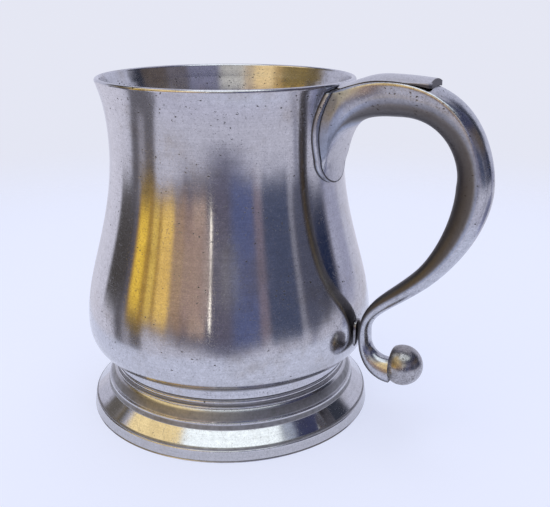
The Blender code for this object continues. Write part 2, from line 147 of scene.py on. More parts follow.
def lathe_tree():
    """A tree that turns an outline round the mug's axis, as a lathe does."""
    tree = bpy.data.node_groups.new("lathe", "GeometryNodeTree")
    face = tree.interface
    face.new_socket("Outline", in_out="INPUT", socket_type="NodeSocketGeometry")
    steps = face.new_socket("Turn Steps", in_out="INPUT", socket_type="NodeSocketInt")
    steps.default_value = turn_steps
    guide = face.new_socket("Guide Radius", in_out="INPUT", socket_type="NodeSocketFloat")
    guide.default_value = guide_radius
    finish = face.new_socket("Finish", in_out="INPUT", socket_type="NodeSocketMaterial")
    face.new_socket("Turned", in_out="OUTPUT", socket_type="NodeSocketGeometry")
    start = tree.nodes.new("NodeGroupInput")
    end = tree.nodes.new("NodeGroupOutput")
    outline = tree.nodes.new("GeometryNodeMeshToCurve")
    circle = tree.nodes.new("GeometryNodeCurvePrimitiveCircle")
    swept = tree.nodes.new("GeometryNodeCurveToMesh")
    merged = tree.nodes.new("GeometryNodeMergeByDistance")
    merged.inputs["Distance"].default_value = 1e-7
    real = tree.nodes.new("GeometryNodeRealizeInstances")
    painted = tree.nodes.new("GeometryNodeSetMaterial")
    tree.links.new(start.outputs["Outline"], outline.inputs["Mesh"])
    tree.links.new(start.outputs["Turn Steps"], circle.inputs["Resolution"])
    tree.links.new(start.outputs["Guide Radius"], circle.inputs["Radius"])
    tree.links.new(circle.outputs["Curve"], swept.inputs["Curve"])
    tree.links.new(outline.outputs["Curve"], swept.inputs["Profile Curve"])
    tree.links.new(swept.outputs["Mesh"], merged.inputs["Geometry"])
    tree.links.new(merged.outputs["Geometry"], real.inputs["Geometry"])
    tree.links.new(real.outputs["Geometry"], painted.inputs["Geometry"])
    tree.links.new(start.outputs["Finish"], painted.inputs["Material"])
    tree.links.new(painted.outputs["Geometry"], end.inputs["Turned"])
    return tree, {"steps": steps.identifier, "guide": guide.identifier, "finish": finish.identifier}


lathe, lathe_inputs = lathe_tree()


def finish_mesh(mesh, sharp_angle=30):
    """Faces turned outwards and shaded smooth up to that angle."""
    bm = bmesh.new()
    bm.from_mesh(mesh)
    bmesh.ops.remove_doubles(bm, verts=bm.verts, dist=1e-7)
    bmesh.ops.recalc_face_normals(bm, faces=bm.faces)
    bm.to_mesh(mesh)
    bm.free()
    mesh.shade_smooth()
    mesh.set_sharp_from_angle(angle=math.radians(sharp_angle))


def turn(name, outline, finish, node, steps=turn_steps, closed=True, sharp_angle=30):
    """A turned piece from its outline of (radius, height) points, riding in its node's place."""
    rough = bpy.data.meshes.new(name + "_outline")
    points = [(point[0] - guide_radius, -point[1], 0) for point in outline]
    edges = [(index, index + 1) for index in range(len(points) - 1)]
    if closed:
        edges.append((len(points) - 1, 0))
    rough.from_pydata(points, edges, [])
    blank = bpy.data.objects.new(name + "_blank", rough)
    bpy.context.collection.objects.link(blank)
    turning = blank.modifiers.new("turning", "NODES")
    turning.node_group = lathe
    turning[lathe_inputs["steps"]] = steps
    turning[lathe_inputs["guide"]] = guide_radius
    turning[lathe_inputs["finish"]] = finish
    seen = blank.evaluated_get(bpy.context.evaluated_depsgraph_get())
    mesh = bpy.data.meshes.new_from_object(seen)
    blank.modifiers.remove(turning)
    bpy.data.objects.remove(blank)
    mesh.transform(Matrix.Translation((axis_x, 0, 0)))
    mesh.name = name
    finish_mesh(mesh, sharp_angle)
    return seat(name, mesh, finish, node)


def seat(name, mesh, finish, node):
    """The piece in its node's place, with its one finish."""
    mesh.materials.clear()
    mesh.materials.append(finish)
    piece = bpy.data.objects.new(name, mesh)
    bpy.context.collection.objects.link(piece)
    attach(piece, "root")
    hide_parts(node)
    return piece


def wire(tree, kind, settings, values, output=0):
    """Adds one shader node and gives its output; a value is a number or another output."""
    made = tree.nodes.new("ShaderNode" + kind)
    for key, setting in settings.items():
        setattr(made, key, setting)
    for key, value in values.items():
        if isinstance(value, bpy.types.NodeSocket):
            tree.links.new(value, made.inputs[key])
        else:
            made.inputs[key].default_value = value
    return made.outputs[output]


def maths(tree, operation, first, second=0.0, third=0.0):
    return wire(tree, "Math", {"operation": operation}, {0: first, 1: second, 2: third})


def ramp(tree, value, low, high):
    """0 at low, 1 at high, smooth between them and held beyond."""
    return wire(tree, "MapRange", {"interpolation_type": "SMOOTHSTEP"},
                {"Value": value, "From Min": low, "From Max": high})


def mix(tree, share, first, second):
    return wire(tree, "Mix", {"data_type": "RGBA"}, {0: share, 6: first, 7: second}, 2)


def noise(tree, place, scale, detail=2.0, roughness=0.5, output=0):
    return wire(tree, "TexNoise", {}, {"Vector": place, "Scale": scale, "Detail": detail,
                                       "Roughness": roughness}, output)


def spread(tree, value, low, high, start=0.3, stop=0.7):
    """A noise's usual range, from start to stop, laid over low to high."""
    return wire(tree, "MapRange", {}, {"Value": value, "From Min": start, "From Max": stop,
                                       "To Min": low, "To Max": high})


def apart(tree, value, middle):
    """How far a value lies from a middle, either way."""
    return maths(tree, "ABSOLUTE", maths(tree, "SUBTRACT", value, middle))


def scaled(tree, vector, factor):
    return wire(tree, "VectorMath", {"operation": "SCALE"}, {0: vector, "Scale": factor})


def shaken(tree, place, scale, detail, reach):
    """The place moved about by a noise, so that what is drawn from it is ragged or bent."""
    shift = scaled(tree, noise(tree, place, scale, detail, output="Color"), reach)
    return wire(tree, "VectorMath", {"operation": "ADD"}, {0: place, 1: shift})


def pit_mask(tree, where, rise, patches, pit_share, pit_band):
    """Pits: a few cells of a ragged pattern, thicker in patches and in one band of heights."""
    ragged = shaken(tree, where, 1500, 2, 0.0012)
    ragged = wire(tree, "Mapping", {}, {"Vector": ragged, "Scale": (0.6, 0.6, 1.1)})
    band_half = max((pit_band[1] - pit_band[0]) / 2, 1e-6)
    in_band = ramp(tree, apart(tree, rise, sum(pit_band) / 2), band_half, band_half * 0.3)
    pits = 0.0
    for scale, share, size, depth in ((1000, pit_share, 0.16, 1.0), (1900, 0.35, 0.20, 0.5)):
        cells = tree.nodes.new("ShaderNodeTexVoronoi")
        tree.links.new(ragged, cells.inputs["Vector"])
        cells.inputs["Scale"].default_value = scale
        draw = wire(tree, "SeparateColor", {}, {"Color": cells.outputs["Color"]})
        crowd = spread(tree, patches, share * 0.02, share, 0.50, 0.75)
        crowd = maths(tree, "MULTIPLY_ADD", in_band, share * 0.6, crowd)
        hollow = ramp(tree, cells.outputs["Distance"], size * 1.9, size * 0.8)
        hollow = maths(tree, "MULTIPLY", maths(tree, "GREATER_THAN", crowd, draw), hollow)
        pits = maths(tree, "MAXIMUM", pits, maths(tree, "MULTIPLY", hollow, depth))
    return pits


def scratch_mask(tree, where):
    """Scratches: thin bent lines along three ways, from noises that are drawn out and cut."""
    bent = shaken(tree, where, 60, 1, 0.012)
    scratches = 0.0
    for way, length in (((0.6, 0.4, 0.3), 90), ((-0.9, -0.5, 0.8), 170), ((1.4, 0.9, 0), 60)):
        drawn = wire(tree, "Mapping", {}, {"Vector": bent, "Rotation": way})
        drawn = wire(tree, "Mapping", {}, {"Vector": drawn, "Scale": (3000, 3000, length)})
        line = ramp(tree, noise(tree, drawn, 1, 0), 0.75, 0.83)
        scratches = maths(tree, "MAXIMUM", scratches, line)
    return scratches


lathe_lines = 2600
# The dark colour of pits and scratches, also laid as painted shade by the dark rings.
grime_and_shade = (0.035, 0.028, 0.022, 1)
# Levels of the wear and shade value: at the darkest level and below, the second colour is laid in
# full as tarnish and painted shade; at the clear level and above, not at all.
wear_and_shade_darkest, wear_and_shade_flat, wear_and_shade_clear = 0.70, 0.96, 1.15
wear_and_shade_hollow, wear_and_shade_full = 0.6, 1.3


def pewter(name, metal, tarnish_and_shade_colour, roughness, turned=True, tarnish_share=0.5, pit_share=0.12,
           pit_band=(0.0, 0.0), grain=1.0, dark_rings=(), anisotropy=0.85, inside_dullness=0.0,
           tarnish_and_shade_share=0.0, dirt_and_shade_dullness=0.35, root_flat_tint=(1.0, 1.0, 1.0)):
    """Worn pewter: lathe lines, a cast grain, pits, scratches, brown tarnish, dirt and painted
    shade.

    The roughness is that of clean and of tarnished metal. A dark ring is a height, the distance
    it spreads and its strength. The second colour is laid, to that share, over what the mesh's wear
    attribute marks low: tarnish in hollows and painted shade on inner and under faces. A tint makes
    the flats beside the handle's root bluish.
    """
    made = bpy.data.materials.new(name)
    made.use_nodes = True
    tree = made.node_tree
    shader = tree.nodes["Principled BSDF"]
    where = wire(tree, "TexCoord", {}, {}, "Object")
    where = wire(tree, "Mapping", {}, {"Vector": where, "Location": (-axis_x, 0, 0)})
    split = tree.nodes.new("ShaderNodeSeparateXYZ")
    tree.links.new(where, split.inputs[0])
    rise = split.outputs["Z"]
    flat = wire(tree, "CombineXYZ", {}, {"X": split.outputs["X"], "Y": split.outputs["Y"]})
    radius = wire(tree, "VectorMath", {"operation": "LENGTH"}, {0: flat}, "Value")
    outwards = wire(tree, "VectorMath", {"operation": "NORMALIZE"}, {0: flat})

    fine = noise(tree, where, 1700, 3, 0.65)
    coarse = noise(tree, where, 520, 3, 0.6)
    slow = noise(tree, where, 42)
    blotches = noise(tree, where, 70, 4, 0.62)
    patches = noise(tree, where, 95, 3, 0.6)
    pits = pit_mask(tree, where, rise, patches, pit_share, pit_band)
    scratches = scratch_mask(tree, where)

    tarnished = ramp(tree, blotches, 0.60 - 0.2 * tarnish_share, 0.80 - 0.15 * tarnish_share)
    colour = mix(tree, maths(tree, "MULTIPLY", tarnished, 0.55 * tarnish_share + 0.1),
                 (*metal, 1), (*tarnish_and_shade_colour, 1))
    shade = maths(tree, "MULTIPLY", spread(tree, fine, 1 - 0.17 * grain, 1 + 0.05 * grain),
                  spread(tree, coarse, 1 - 0.10 * grain, 1.03))
    colour = scaled(tree, colour, shade)
    dirt_and_shade = maths(tree, "MAXIMUM", pits, maths(tree, "MULTIPLY", scratches, 0.28))
    # Dark rings add to the dark marks: partly dirt in grooves, partly painted shade in recesses.
    for ring_height, reach, strength in dark_rings:
        ring = ramp(tree, apart(tree, rise, ring_height), reach, reach * 0.5)
        ring = maths(tree, "MULTIPLY", ring, spread(tree, coarse, strength * 0.7, strength))
        dirt_and_shade = maths(tree, "MAXIMUM", dirt_and_shade, ring)
    colour = mix(tree, maths(tree, "MULTIPLY", dirt_and_shade, 0.88), colour, grime_and_shade)

    height = maths(tree, "MULTIPLY", fine, 0.000001 * grain)
    for mask, depth in ((coarse, 0.000003 * grain), (slow, 0.00008 * grain), (pits, -0.000006),
                        (scratches, -0.000005)):
        height = maths(tree, "MULTIPLY_ADD", mask, depth, height)
    if turned:
        lifted = wire(tree, "CombineXYZ", {}, {"Z": maths(tree, "MULTIPLY", rise, lathe_lines)})
        line_place = wire(tree, "VectorMath", {"operation": "ADD"},
                          {0: scaled(tree, outwards, 3.0), 1: lifted})
        lines = wire(tree, "TexNoise", {"noise_dimensions": "4D"},
                     {"Vector": line_place, "W": maths(tree, "MULTIPLY", radius, lathe_lines),
                      "Scale": 1.0, "Detail": 2.0, "Roughness": 0.6})
        height = maths(tree, "MULTIPLY_ADD", lines, 0.000003, height)
        colour = scaled(tree, colour, spread(tree, lines, 0.92, 1.04))
        tangent = wire(tree, "Tangent", {"direction_type": "RADIAL", "axis": "Z"}, {})
        tree.links.new(tangent, shader.inputs["Tangent"])
        shader.inputs["Anisotropic"].default_value = anisotropy
        shader.inputs["Anisotropic Rotation"].default_value = 0.25
    bump = wire(tree, "Bump", {}, {"Height": height, "Distance": 1.0, "Strength": 1.0})
    rough = spread(tree, blotches, roughness[0], roughness[1], 0.3, 0.75)
    rough = maths(tree, "MULTIPLY_ADD", dirt_and_shade, dirt_and_shade_dullness, rough)
    # The second colour laid over faces with a low wear value: tarnish in hollows and painted shade
    # on inner and under faces.
    if tarnish_and_shade_share:
        wear_and_shade = wire(tree, "Attribute", {"attribute_name": "wear_and_shade"}, {}, "Fac")
        hollow = maths(tree, "MULTIPLY", ramp(tree, wear_and_shade, wear_and_shade_clear, wear_and_shade_darkest), tarnish_and_shade_share)
        colour = mix(tree, hollow, colour, (*tarnish_and_shade_colour, 1))
        on_flat = ramp(tree, apart(tree, wear_and_shade, wear_and_shade_flat), 0.14, 0.04)
        tint = mix(tree, on_flat, (1, 1, 1, 1), (*root_flat_tint, 1))
        colour = wire(tree, "VectorMath", {"operation": "MULTIPLY"}, {0: colour, 1: tint})
        rough = maths(tree, "MULTIPLY_ADD", ramp(tree, wear_and_shade, 1.25, 1.0), 0.24, rough)
    if inside_dullness:
        faced = wire(tree, "NewGeometry", {}, {}, "Normal")
        faces_out = wire(tree, "VectorMath", {"operation": "DOT_PRODUCT"},
                         {0: faced, 1: outwards}, "Value")
        rough = maths(tree, "MULTIPLY_ADD", maths(tree, "LESS_THAN", faces_out, -0.1),
                      inside_dullness, rough)
    tree.links.new(colour, shader.inputs["Base Color"])
    tree.links.new(rough, shader.inputs["Roughness"])
    tree.links.new(bump, shader.inputs["Normal"])
    shader.inputs["Metallic"].default_value = 1.0
    return made


pewter_white = (0.655, 0.652, 0.685)
pewter_brown = (0.40, 0.35, 0.29)
body_finish = pewter("body_pewter", pewter_white, pewter_brown, (0.11, 0.16),
                     pit_band=(rim_height - 0.013, rim_height - 0.001), inside_dullness=0.04,
                     anisotropy=0.75, pit_share=0.38)
bead_top_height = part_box("seam_solder")[1].z
bead_depth = 0.0009
lip_centre = Vector((rim_radius - lip_radius, rim_height - lip_radius))
throat_line = between(inside_line, seam_height, rim_height - 5 * lip_radius)
bead_back = radius_at(body_line, seam_height) - bead_depth - hairline
drum_outline = (
    [Vector((bead_back, seam_height + hairline)), Vector((bead_back, bead_top_height + hairline))]
    + between(body_line, bead_top_height + hairline, rim_height - lip_radius)[:-1]
    + arc(lip_centre, lip_radius, 0, 180, 10)
    + throat_line[::-1]
)
turn("upper_body_drum", drum_outline, body_finish, "upper_body")


# Lower body: the bowl under the seam, cast in one with the collar below it and the mug's floor.
# It is the same pewter as the drum, turned and soldered to it.
floor_top_height = 0.0206
floor_edge = Vector((collar_radius - 2 * wall, floor_top_height))
underside_radius = 0.0345
underside_rise = 0.0003
collar_face = collar_radius - 0.0001
bowl_inside = between(inside_line, floor_top_height + 2 * wall, seam_height - hairline)
corner_start = bowl_inside[0]
bowl_corner = (curved((0.0, floor_top_height), 0, 0.02, floor_edge, 0, 0.01, 6)[:-1]
               + curved(floor_edge, 0, 0.6 * wall, corner_start, 58, 1.6 * wall, 10))
collar_bottom = foot_height + 0.00012
collar_groove_height = 0.0186
groove_half = 0.0002
groove_depth = 0.00025
bowl_outside = between(body_line, collar_top_height, seam_height - hairline)
collar_edge = curved(
    bowl_outside[0], 205, 0.0008, (collar_face, collar_groove_height + groove_half),
    -95, 0.0012, 8,
)[1:]
collar_groove = [Vector((collar_face - groove_depth, collar_groove_height)),
                 Vector((collar_face, collar_groove_height - groove_half))]
bowl_outline = (
    bowl_corner + bowl_inside[1:] + bowl_outside[::-1] + collar_edge + collar_groove
    + [Vector((collar_face - groove_half, collar_bottom)),
       Vector((underside_radius, collar_bottom)), Vector((0.0, collar_bottom + underside_rise))]
)
bowl_finish = pewter("bowl_pewter", pewter_white, pewter_brown, (0.11, 0.16), grain=1.2,
                     pit_band=(0.036, 0.044), inside_dullness=0.04, anisotropy=0.75,
                     dark_rings=[(collar_top_height - 0.0003, 0.0006, 0.5),
                                 (collar_groove_height, 0.0003, 0.8)])
turn("lower_body_bowl", bowl_outline, bowl_finish, "lower_body", closed=False)


# Seam solder: the bead that joins the drum and the bowl, turned flush. It shows as a hairline.
solder_grey = (0.64, 0.632, 0.66)
solder_finish = pewter("solder", solder_grey, pewter_brown, (0.11, 0.16), anisotropy=0.75)
bead_face = between(body_line, seam_height, bead_top_height)
bead_outline = bead_face + [Vector((bead_back + hairline, bead_top_height)),
                            Vector((bead_back + hairline, seam_height))]
turn("seam_bead", bead_outline, solder_finish, "seam_solder")


# Foot: a turned ring with an upright band, a flared skirt, a step, a swell and a short neck with a
# fine thread. Its metal is paler than the body's; painted shade darkens its step, its swell and the
# top of its band, and its grooves are darker.
band_height = 0.0042
band_taper = 0.0005
skirt_width = 0.0047
skirt_rise = 0.0040
step_width = 0.0004
step_rise = 0.0020
swell_width = 0.0021
swell_rise = 0.0038
neck_radius = 0.0410
neck_bead = 0.0006
edge_round = 0.0004
thread_radius = 0.0004
step_round = 0.0003
neck_nick = 0.0002
band_top = Vector((belly_radius - band_taper, band_height))
skirt_low = band_top + Vector((-0.0003, 0.0006))
skirt_high = skirt_low + Vector((-skirt_width, skirt_rise))
step_low = skirt_high + Vector((0, 0.0001))
step_high = step_low + Vector((-step_width, step_rise))
swell_low = step_high + Vector((-0.0006, 0.0003))
swell_high = swell_low + Vector((-swell_width, swell_rise))
thread = swell_high + Vector((-0.0002, 0.0004))
neck_low = thread + Vector((-0.0006, 0.0005))
bead_middle = Vector((neck_low.x, foot_height - neck_bead))
band_groove_height = 0.0007
foot_outside = (
    arc((belly_radius - edge_round, edge_round), edge_round, -90, 0, 5)
    + [Vector((belly_radius - 0.0002, band_groove_height))]
    + [Vector((belly_radius - 0.00004, band_groove_height + groove_half))]
    + arc(band_top + Vector((-edge_round, -edge_round)), edge_round, 0, 80, 5)
    + [band_top + Vector((-0.0004, 0.0003))]
    + curved(skirt_low, 141, 0.3 * skirt_width, skirt_high, 139, 0.3 * skirt_width, 12)
    + [step_low]
    + arc(step_high + Vector((-step_round, 0)), step_round, 5, 80, 5)
    + curved(swell_low, 106, 0.33 * swell_rise, swell_high, 141, 0.33 * swell_rise, 24)
    + arc(thread, thread_radius, -40, 85, 8)
    + [neck_low, neck_low + Vector((-neck_nick, neck_nick)),
       neck_low + Vector((-neck_nick, 0.0005))]
    + arc(bead_middle, neck_bead, -70, 60, 10)
    + [Vector((neck_radius, foot_height))]
)
foot_land = 0.0028
foot_wall = 0.0020
foot_inside = curved(
    (neck_radius - foot_wall, foot_height), -90, 0.45 * foot_height,
    (belly_radius - foot_land - edge_round, 0.0), -70, 0.28 * foot_height, 24,
)
# Its dark rings paint shade as a dark line where the band turns into the skirt, on the step's
# riser, on the swell and at the swell's top; the band, its groove and the neck's groove are darker
# too.
foot_finish = pewter(
    "foot_pewter", (0.68, 0.67, 0.685), pewter_brown, (0.07, 0.14), tarnish_share=0.3,
    anisotropy=0.5, dirt_and_shade_dullness=0.6,
    dark_rings=[(band_height + 0.0005, 0.0006, 0.75), (band_groove_height, 0.0002, 0.7),
                (band_height - 0.0019, 0.0019, 0.16),
                ((step_low.y + step_high.y) / 2 - 0.0002, step_rise / 2 + 0.0001, 0.72),
                ((swell_low.y + swell_high.y) / 2 - 0.0002, swell_rise / 2, 0.74),
                (swell_high.y - 0.0002, 0.0005, 0.2), (neck_low.y, 0.0003, 0.5)],
)
turn("foot_moulding", foot_outside + foot_inside, foot_finish, "foot_ring",
     sharp_angle=36)


# Foot solder: the fillet run round inside the neck, where the foot is soldered to the bowl.
fillet_leg = 0.0024
fillet_out = neck_radius - foot_wall - hairline
fillet_outline = [Vector((fillet_out, foot_height))] + arc(
    (fillet_out - fillet_leg, foot_height - fillet_leg), fillet_leg, 0, 90, 8)
turn("foot_fillet", fillet_outline, solder_finish, "foot_solder", steps=192)


# Handle: one hollow casting. A shield-shaped root narrows into a flat-sided arch with a sharp
# ridge along each upper edge, which softens down the slope to a round tail that curls back.
plate_thickness = 0.0011
pad_thickness = 0.0006
touch = 0.00004
handle_back_height = 0.0895
handle_reach = cad_box[1].x - axis_x
root_top_drop = 0.0024
root_length = 0.0296
root_round = 0.0070
arch_out = 0.0165
arch_rise = 0.0011
arch_lean = 0.0040
arch_depth = 0.0096
back_crown = 0.0038
back_depth = 0.0050
slope_depth = 0.0034
contact_height = 0.0345
contact_depth = 0.0012
tail_reach = 0.0115
tail_height = 0.0201
tail_depth = 0.0016
contact_gap = 0.0008
stretch_steps = 28

root_stand_off = plate_thickness + 2 * touch
root_rounding = 0.00009
seat_shares = (0.3, 0.6, 0.9)
root_top = rim_height - root_top_drop
root_edge = root_top - root_length + root_round + 0.0012
arch = Vector((rim_radius + arch_out, rim_height + arch_rise))
back = Vector((handle_reach - back_crown, handle_back_height))
contact = Vector((belly_radius + pad_thickness + contact_gap, contact_height))
slope = Vector((
    contact.x + 0.545 * (back.x - back_depth - contact.x),
    contact.y + 0.455 * (back.y - contact.y),
))
slope_heading = -134
tail = Vector((contact.x + tail_reach, tail_height))
slope_square = Vector((math.cos(math.radians(slope_heading + 90)),
                       math.sin(math.radians(slope_heading + 90))))
inner_keys = [
    (Vector((radius_at(body_line, root_edge) + root_stand_off, root_edge)), 78),
    (arch + Vector((arch_lean, -arch_depth)), 0), (back - Vector((back_depth, 0)), -90),
    (slope, slope_heading), (contact, -90), (tail, 0),
]
ridge_keys = [
    (Vector((radius_at(body_line, root_top) + root_stand_off, root_top)), 18),
    (arch, 0), (back, -90), (slope + slope_square * slope_depth, slope_heading - 5),
    (contact + Vector((contact_depth, 0)), -90), (tail + Vector((0, tail_depth)), 0),
]
inner_pulls = [(0.60, 0.43), (0.50, 0.28), (0.30, 0.30), (0.50, 0.42), (0.56, 0.30)]
ridge_pulls = [(0.30, 0.45), (0.48, 0.40), (0.30, 0.35), (0.55, 0.34), (0.50, 0.30)]


def rail(keys, pulls):
    """One smooth line through the keys."""
    line = [keys[0][0]]
    for (start, leaving), (end, reaching), pull in zip(keys, keys[1:], pulls):
        span = (end - start).length
        line += curved(start, leaving, pull[0] * span, end, reaching, pull[1] * span,
                       stretch_steps)[1:]
    return line


def eased(values, place):
    """A value read between the keys, smoothly."""
    low = min(int(place), len(values) - 2)
    share = place - low
    share = share * share * (3 - 2 * share)
    return values[low] + share * (values[low + 1] - values[low])


inner_rail = rail(inner_keys, inner_pulls)
ridge_rail = rail(ridge_keys, ridge_pulls)
low_widths = (0.0188, 0.0138, 0.0122, 0.0086, 0.0074, 0.0078)
ridge_widths = (0.0182, 0.0138, 0.0122, 0.0086, 0.0074, 0.0078)
crowns = (0.0012, 0.0012, back_crown, 0.0030, 0.0020, 0.0062)
crown_angles = (40, 42, 62, 78, 80, 88)
inner_crowns = (0.0012, 0.0011, 0.0026, 0.0002, 0.0002, 0.0002)
inner_roundness = (0, 0.5, 1, 0.85, 0.3, 0.2)
edge_softness = (0.00030, 0.00042, 0.00045, 0.00060, 0.00025, 0.00025)
root_swell = 0.0020
wall_steps = 18
crown_steps = 44
wear_and_shade_base = (0.95, 0.50, 0.0, 0.0, 0.3, 0.5)
wear_and_shade_most = (0.97,) + (wear_and_shade_full,) * 5


def gathered(count):
    """Shares from 0 to 1 that lie closer at both ends, where the edges are."""
    return [(1 - math.cos(math.pi * step / count)) / 2 for step in range(count)]


def handle_section(place):
    """The handle's outline across, as (side, depth) points from its inner line."""
    index = round(place * stretch_steps)
    depth = (ridge_rail[index] - inner_rail[index]).length
    low_half = eased(low_widths, place) / 2
    ridge_half = eased(ridge_widths, place) / 2
    crown = eased(crowns, place)
    crown_angle = math.radians(eased(crown_angles, place))
    inner_crown = eased(inner_crowns, place) + root_round * max(0, 1 - place) ** 3
    swell = root_swell * max(0, 1 - place * place * (3 - 2 * place)) if place < 1 else 0
    roundness = eased(inner_roundness, place)
    side_wall = []
    for share in gathered(wall_steps):
        half = low_half + share * (ridge_half - low_half) + swell * math.sin(share * math.pi)
        side_wall.append((half, share * depth))
    boxed = [(-side, rise) for side, rise in side_wall[:0:-1]]
    for share in gathered(crown_steps):
        angle = math.pi * (share - 0.5)
        boxed.append((low_half * math.sin(angle), -inner_crown * math.cos(angle)))
    boxed += side_wall
    outline = []
    for step, (side, rise) in enumerate(boxed):
        angle = math.pi * ((step + 1) / (len(boxed) + 1) - 0.5)
        round_side = ridge_half * math.sin(angle)
        round_rise = depth - (depth + inner_crown) * math.cos(angle)
        outline.append((side + roundness * (round_side - side),
                        rise + roundness * (round_rise - rise)))
    for share in gathered(crown_steps) + [1.0]:
        angle = (1 - 2 * share) * crown_angle
        rise = (crown * (math.cos(angle) - math.cos(crown_angle))
                / (1 - math.cos(crown_angle)))
        outline.append((ridge_half * math.sin(angle) / math.sin(crown_angle), depth + rise))
    return np.array(outline)


def soften(outline, softness):
    """The outline with its edges rounded over about that distance, a Gaussian average."""
    following = np.roll(outline, -1, 0)
    lengths = np.linalg.norm(following - outline, axis=1)
    places = np.concatenate([[0], np.cumsum(lengths)[:-1]])
    around = lengths.sum()
    weights = (lengths + np.roll(lengths, 1)) / 2
    distances = np.abs(places[:, None] - places[None, :])
    distances = np.minimum(distances, around - distances)
    pull = np.exp(-0.5 * (distances / softness) ** 2) * weights[None, :]
    return (pull @ outline) / pull.sum(1)[:, None]


def beside_body(side, height, stand_off):
    """The point that stands off from the body's handle side by that much."""
    reach = radius_at(body_line, height) + stand_off
    return Vector((axis_x + math.sqrt(reach * reach - side * side), side, height))


def handle_ring(index):
    """The outline set across the handle, or along the body at its root, and its wear and painted
    shade values.
    """
    place = index / stretch_steps
    start = Vector((axis_x + inner_rail[index].x, 0, inner_rail[index].y))
    run = ridge_rail[index] - inner_rail[index]
    along = Vector((run.x, 0, run.y)).normalized()
    ring, wear_and_shade = [], []
    for side, depth in soften(handle_section(place), eased(edge_softness, place)):
        point = start + along * depth
        point.y = side
        if index < stretch_steps:
            seated_at = beside_body(side, point.z, root_stand_off + index * root_rounding)
            if index == 0 or point.x < seated_at.x:
                point = seated_at
        ring.append(point)
        # The wear value rises from the inner face to the ridge, so the inner faces and lower sides
        # take painted shade; near the root the underside is lifted lighter.
        share = depth / run.length
        under = max(0, -share) * max(0, 1 - place) * 4
        wear_and_shade.append(min(share + eased(wear_and_shade_base, place), eased(wear_and_shade_most, place)) + under)
    return ring, wear_and_shade


def loft(bm, rings, shares=()):
    """Faces between rings of equal count and over both ends; shares give its wear and painted
    shade.
    """
    worn = bm.verts.layers.float.new("wear_and_shade")
    corners = [[bm.verts.new(point) for point in ring] for ring in rings]
    for corner, share in zip((corner for ring in corners for corner in ring), shares):
        corner[worn] = share
    for near, far in zip(corners, corners[1:]):
        for index in range(len(near)):
            after = (index + 1) % len(near)
            bm.faces.new((near[index], near[after], far[after], far[index]))
    bm.faces.new(corners[0])
    bm.faces.new(corners[-1])


def seated(name, bm, finish, node, sharp_angle=40):
    mesh = bpy.data.meshes.new(name)
    bm.to_mesh(mesh)
    bm.free()
    finish_mesh(mesh, sharp_angle)
    return seat(name, mesh, finish, node)


# Its near-black second colour is tarnish in blotches and also the painted shade of its inner and
# under faces.
handle_finish = pewter("handle_pewter", (0.60, 0.605, 0.65), (0.11, 0.10, 0.095), (0.18, 0.26),
                       turned=False, tarnish_share=0.4, grain=1.5, tarnish_and_shade_share=0.9, pit_share=0.35,
                       # A bluish tint on the flats beside the handle's root.
                       root_flat_tint=(0.95, 1.02, 1.15),
                       pit_band=(rim_height - 0.010, rim_height + 0.002))
handle_rings, handle_wear_and_shade = [], []
for index in range(len(inner_rail)):
    ring, wear_and_shade = handle_ring(index)
    handle_rings.append(ring)
    handle_wear_and_shade += wear_and_shade
root_ring = [(point.y, point.z) for point in handle_rings[0]]
root_middle = sum(height for side, height in root_ring) / len(root_ring)


def within_root(share, stand_off):
    """The root's outline drawn in towards its middle, along the body."""
    return [beside_body(side * share, root_middle + (height - root_middle) * share, stand_off)
            for side, height in root_ring]


root_seat = [within_root(share, root_stand_off) for share in seat_shares]
seat_wear_and_shade = [0.0] * len(root_seat) * len(root_ring)
bm = bmesh.new()
loft(bm, root_seat + handle_rings, seat_wear_and_shade + handle_wear_and_shade)
seated("handle_casting", bm, handle_finish, "handle", 60)


# Root plate: the shield-shaped plate under the handle's root, cast with it and soldered to the
# body. Only its border shows, with a dark groove on either side of it.
plate_border = 0.0018
plate_toe = 0.0005
plate_edge = 0.0003


def grown(outline, border, toe):
    """The root's outline with a border round its sides and a little at its toe."""
    looped = [outline[-1]] + outline + [outline[0]]
    wide = []
    for before, point, after in zip(looped, outline, looped[2:]):
        run = Vector((after[0] - before[0], after[1] - before[1])).normalized()
        wide.append((point[0] + run.y * border, point[1] - max(run.x, 0) * toe))
    return wide


plate_rings = [within_root(share, touch) for share in seat_shares]
plate_wear_and_shade = list(seat_wear_and_shade)
for border, lift, share in ((plate_border, touch, wear_and_shade_hollow),
                            (plate_border, 0.5 * plate_thickness, 1),
                            (plate_border - plate_edge, plate_thickness, wear_and_shade_full),
                            (0.5 * plate_border, plate_thickness, 1.2),
                            (0, plate_thickness, wear_and_shade_hollow)):
    plate_rings.append([beside_body(side, height, lift)
                        for side, height in grown(root_ring, border, plate_toe)])
    plate_wear_and_shade += [share] * len(root_ring)
plate_rings += [within_root(share, plate_thickness) for share in reversed(seat_shares)]
bm = bmesh.new()
loft(bm, plate_rings, plate_wear_and_shade)
seated("root_plate_border", bm, handle_finish, "root_plate")


# Tail pad: the pad of solder between the belly and the back of the handle's lower scroll.
pad_length = 0.0096
pad_width = 0.0060
pad_squareness = 0.6
pad_steps = 48
pad_rings = []
for share, lift in ((1.0, touch), (1.0, 0.6 * pad_thickness), (0.86, pad_thickness),
                    (0.4, pad_thickness)):
    ring = []
    for step in range(pad_steps):
        angle = step * math.tau / pad_steps
        side, rise = (math.copysign(abs(part) ** pad_squareness, part) * full / 2
                      for part, full in ((math.cos(angle), pad_width),
                                         (math.sin(angle), pad_length)))
        ring.append(beside_body(side * share, contact_height + rise * share, lift))
    pad_rings.append(ring)
bm = bmesh.new()
loft(bm, pad_rings)
seated("tail_pad_solder", bm, solder_finish, "tail_pad")


